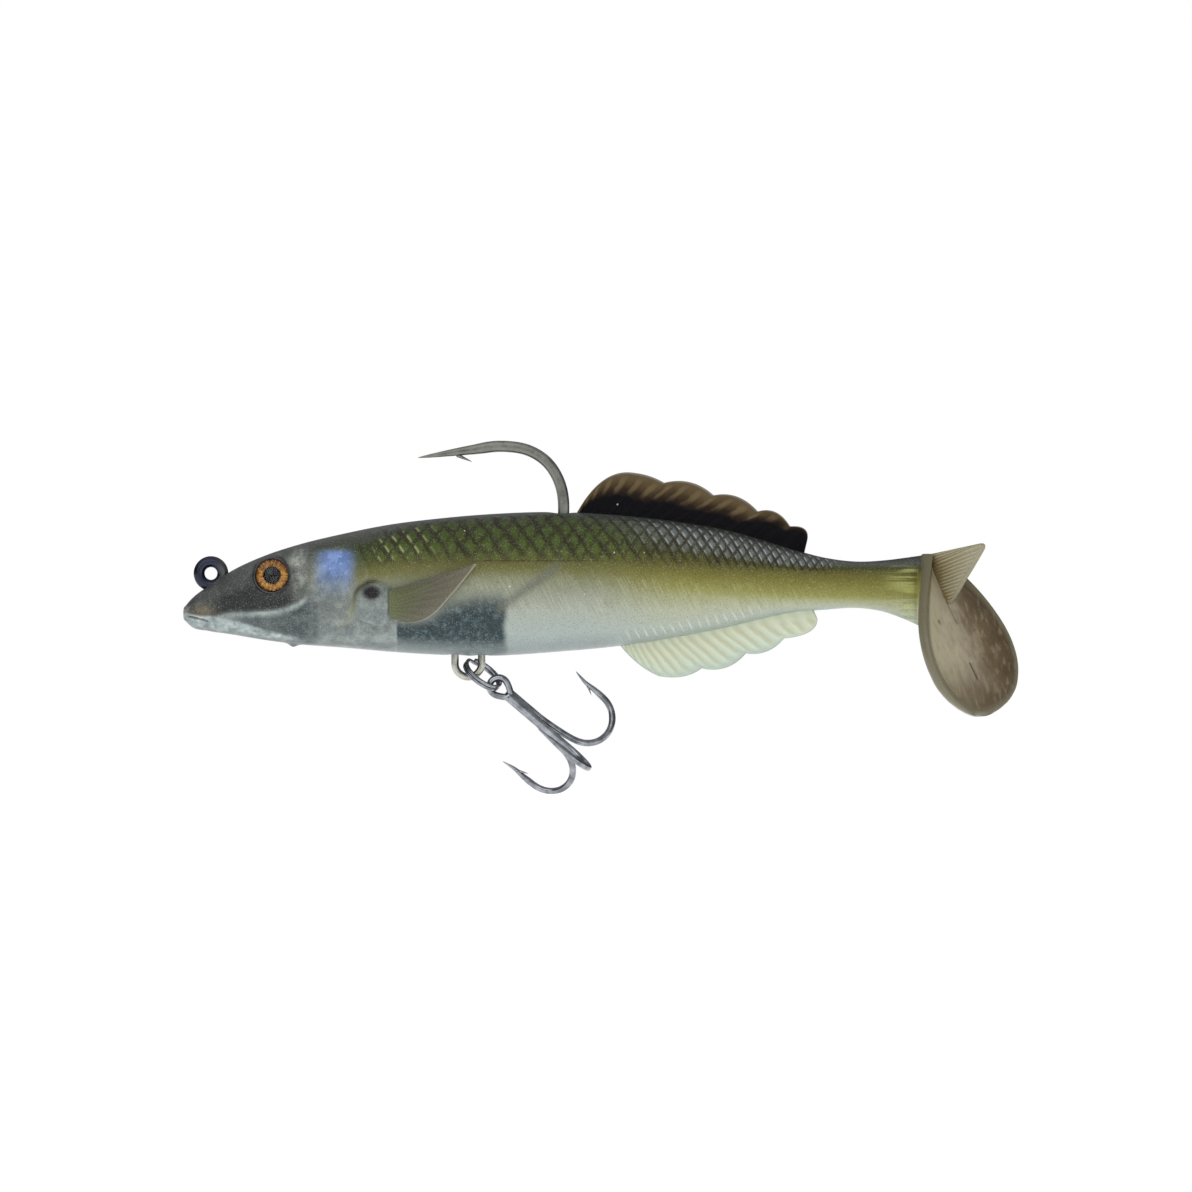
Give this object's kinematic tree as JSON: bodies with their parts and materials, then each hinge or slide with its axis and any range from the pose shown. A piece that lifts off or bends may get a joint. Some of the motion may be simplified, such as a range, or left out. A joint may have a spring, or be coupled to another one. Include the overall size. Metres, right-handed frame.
{
  "type": "swimbait",
  "caption": "Rigged soft-plastic swimbait: scaled minnow body on an internal lead jig hook, with a kicking paddle tail, soft fins and a belly treble on a split ring.",
  "frame": {"origin": "centre of the line tie, the hook eye at the nose", "axes": "+X from nose to tail, +Y towards the right flank, +Z towards the back (dorsal side)"},
  "size_m": [0.14, 0.0271, 0.0591],
  "materials": {
    "soft_body": "soft clear plastisol over a scale pattern, dark back to pearl belly",
    "dark_fin": "soft smoke plastic, translucent at its edge",
    "pale_fin": "soft translucent pearl plastic",
    "smoke_fin": "soft translucent smoke plastic",
    "tail_plastic": "soft translucent brown-grey plastic",
    "hook_steel": "black nickel",
    "treble_steel": "nickel",
    "lead": "cast lead, dull grey",
    "eye_cup": "black",
    "eye_iris": "amber foil with a dark pupil",
    "eye_lens": "clear epoxy dome"
  },
  "bodies": {
    "front": {"soft_body_front": "soft_body", "lead_head": "lead", "main_hook": "hook_steel", "belly_weight": "lead", "belly_hanger": "treble_steel", "eye_cup_left": "eye_cup", "eye_cup_right": "eye_cup", "eye_iris_left": "eye_iris", "eye_iris_right": "eye_iris", "eye_dome_left": "eye_lens", "eye_dome_right": "eye_lens"},
    "rear": {"soft_body_rear": "soft_body"},
    "stem": {"tail_stem": "soft_body"},
    "paddle": {"paddle_tail": "tail_plastic", "caudal_lobe": "tail_plastic"},
    "dorsal": {"dorsal_fin": "dark_fin"},
    "anal": {"anal_fin": "pale_fin"},
    "pectoral_left": {"pectoral_fin_left": "smoke_fin"},
    "pectoral_right": {"pectoral_fin_right": "smoke_fin"},
    "ring": {"split_ring": "treble_steel"},
    "treble": {"treble_double": "treble_steel", "treble_single": "treble_steel"}
  },
  "joints": [
    {"name": "body_flex", "type": "hinge", "parent": "front", "child": "rear", "pos_m": [0.0611, 0, -0.0015], "axis": [0, 0, 1], "range_deg": [-18, 18], "stiffness_Nm_per_rad": 0.03},
    {"name": "stem_flex", "type": "hinge", "parent": "rear", "child": "stem", "pos_m": [0.1042, 0, -0.0017], "axis": [0, 0, 1], "range_deg": [-32, 32], "stiffness_Nm_per_rad": 0.0022},
    {"name": "paddle_kick", "type": "hinge", "parent": "stem", "child": "paddle", "pos_m": [0.1189, 0, -0.00315], "axis": [0, 0, 1], "range_deg": [-12, 108], "stiffness_Nm_per_rad": 0.0009},
    {"name": "dorsal_fold", "type": "hinge", "parent": "rear", "child": "dorsal", "pos_m": [0.0807, 0, 0.0081], "axis": [0.9845, 0, -0.1756], "range_deg": [-30, 30], "stiffness_Nm_per_rad": 0.0012},
    {"name": "anal_fold", "type": "hinge", "parent": "rear", "child": "anal", "pos_m": [0.0846, 0, -0.0101], "axis": [0.984, 0, 0.1783], "range_deg": [-30, 30], "stiffness_Nm_per_rad": 0.001},
    {"name": "pectoral_left_flap", "type": "hinge", "parent": "front", "child": "pectoral_left", "pos_m": [0.0304, -0.00895, -0.00505], "axis": [0, 0, 1], "range_deg": [-40, 3], "stiffness_Nm_per_rad": 0.0004},
    {"name": "pectoral_right_flap", "type": "hinge", "parent": "front", "child": "pectoral_right", "pos_m": [0.0304, 0.00895, -0.00505], "axis": [0, 0, 1], "range_deg": [-3, 40], "stiffness_Nm_per_rad": 0.0004},
    {"name": "ring_swing", "type": "hinge", "parent": "front", "child": "ring", "pos_m": [0.0431, 0, -0.0151], "axis": [0, 1, 0], "range_deg": [-12, 96]},
    {"name": "treble_swing", "type": "hinge", "parent": "ring", "child": "treble", "pos_m": [0.0455, 0, -0.0169], "axis": [0.558, -0.3746, 0.7405], "range_deg": [-35, 35]}
  ]
}
